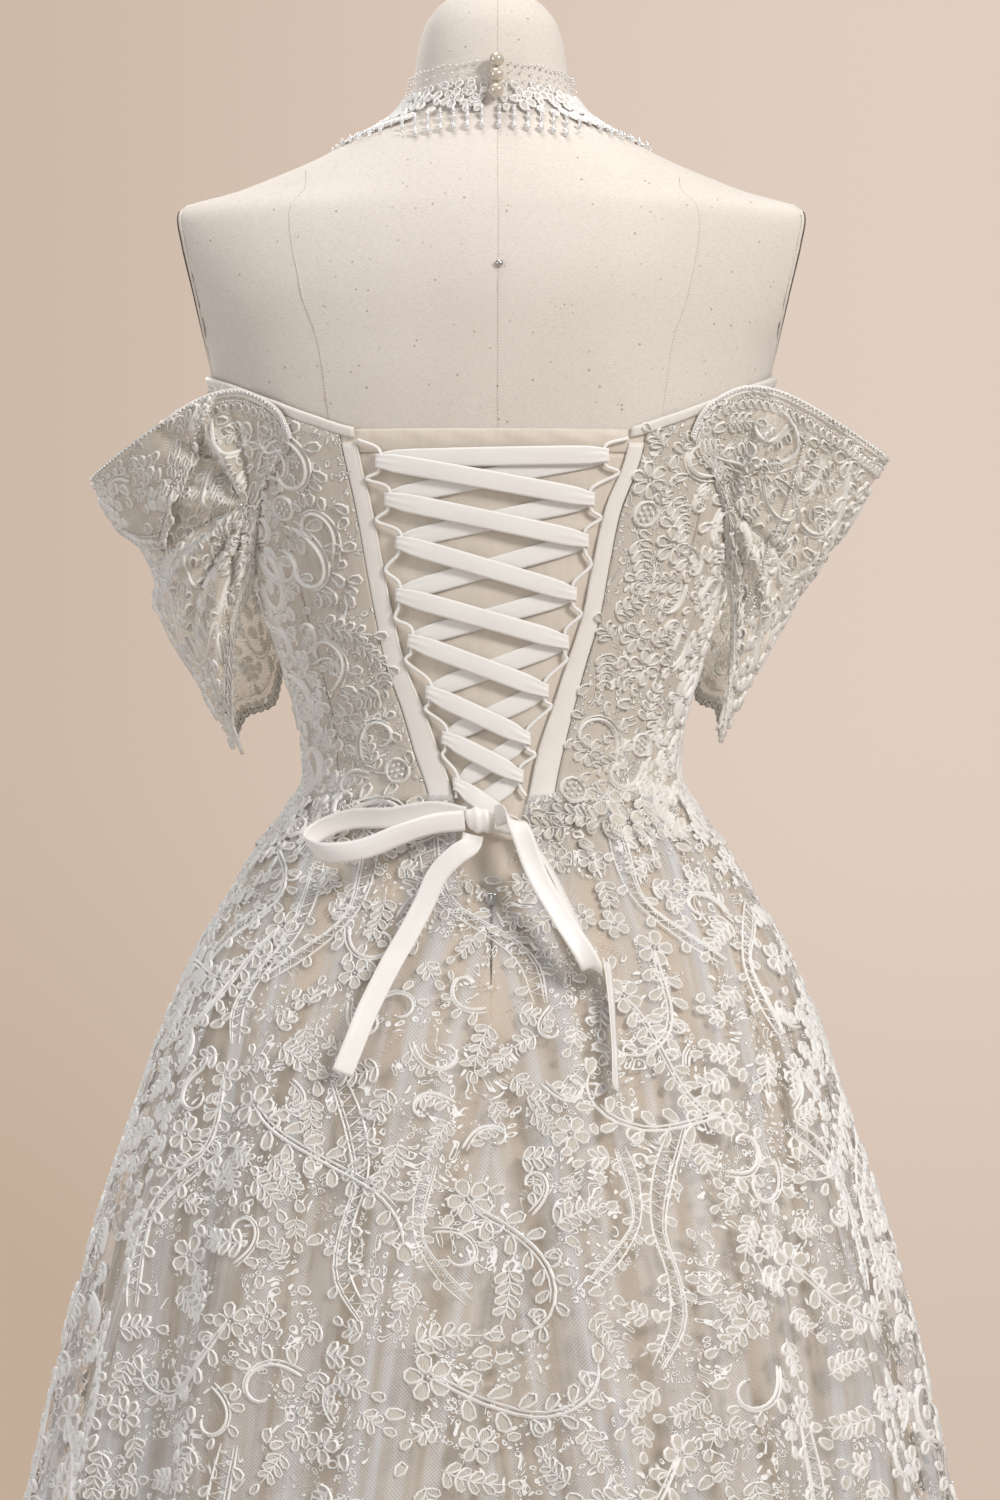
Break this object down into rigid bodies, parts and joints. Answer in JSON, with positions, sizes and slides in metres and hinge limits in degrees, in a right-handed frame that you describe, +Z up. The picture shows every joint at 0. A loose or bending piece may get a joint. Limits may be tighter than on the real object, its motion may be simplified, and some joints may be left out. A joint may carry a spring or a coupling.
{
  "type": "wedding dress on a dress form",
  "caption": "Strapless corset-backed A-line wedding dress with draped off-shoulder lace sleeves, laced back and bow, and a beaded high collar, worn by a limbless linen form on a stand.",
  "frame": {"origin": "centre of the stand's base on the floor", "axes": "+Z up; the dress's front faces -Y and its laced back faces +Y; +X is the wearer's left"},
  "size_m": [0.8445, 0.8358, 1.545],
  "materials": {
    "lace_over_satin": "corded ivory lace over cream satin",
    "ivory_satin": "soft sheen ivory satin",
    "cream_satin": "soft sheen cream satin",
    "lining_satin": "matt cream lining",
    "lace_on_tulle": "corded ivory lace on sheer tulle",
    "lace_net": "beaded ivory lace net",
    "pearl": "pearl lustre",
    "small_metal": "satin",
    "linen": "natural linen cover",
    "painted_stand": "ivory powder coat"
  },
  "bodies": {
    "root": {"back_band_left": "ivory_satin", "back_band_right": "ivory_satin", "bodice_back_left": "lace_over_satin", "bodice_back_right": "lace_over_satin", "bodice_front": "lace_over_satin", "bodice_side_left": "lace_over_satin", "bodice_side_right": "lace_over_satin", "bow_knot": "ivory_satin", "bow_loop_left": "ivory_satin", "bow_loop_right": "ivory_satin", "bow_tail_left": "ivory_satin", "bow_tail_right": "ivory_satin", "collar_bead_fringe": "pearl", "collar_lace": "lace_net", "form_base": "painted_stand", "form_pin": "small_metal", "form_pole": "painted_stand", "form_torso": "linen", "lacing_ribbon": "ivory_satin", "loop_braid_left": "ivory_satin", "loop_braid_right": "ivory_satin", "modesty_panel": "cream_satin", "modesty_top_band": "cream_satin", "pearl_button_1": "pearl", "pearl_button_2": "pearl", "pearl_button_3": "pearl", "skirt_back_left": "lace_on_tulle", "skirt_back_right": "lace_on_tulle", "skirt_front_left": "lace_on_tulle", "skirt_front_right": "lace_on_tulle", "skirt_lining_back_left": "lining_satin", "skirt_lining_back_right": "lining_satin", "skirt_lining_front_left": "lining_satin", "skirt_lining_front_right": "lining_satin", "skirt_lining_side_back_left": "lining_satin", "skirt_lining_side_back_right": "lining_satin", "skirt_lining_side_front_left": "lining_satin", "skirt_lining_side_front_right": "lining_satin", "skirt_side_back_left": "lace_on_tulle", "skirt_side_back_right": "lace_on_tulle", "skirt_side_front_left": "lace_on_tulle", "skirt_side_front_right": "lace_on_tulle", "sleeve_left": "lace_net", "sleeve_right": "lace_net", "sleeve_trim_left": "lace_net", "sleeve_trim_right": "lace_net", "top_binding": "ivory_satin", "zip_slider": "small_metal"}
  },
  "joints": []
}
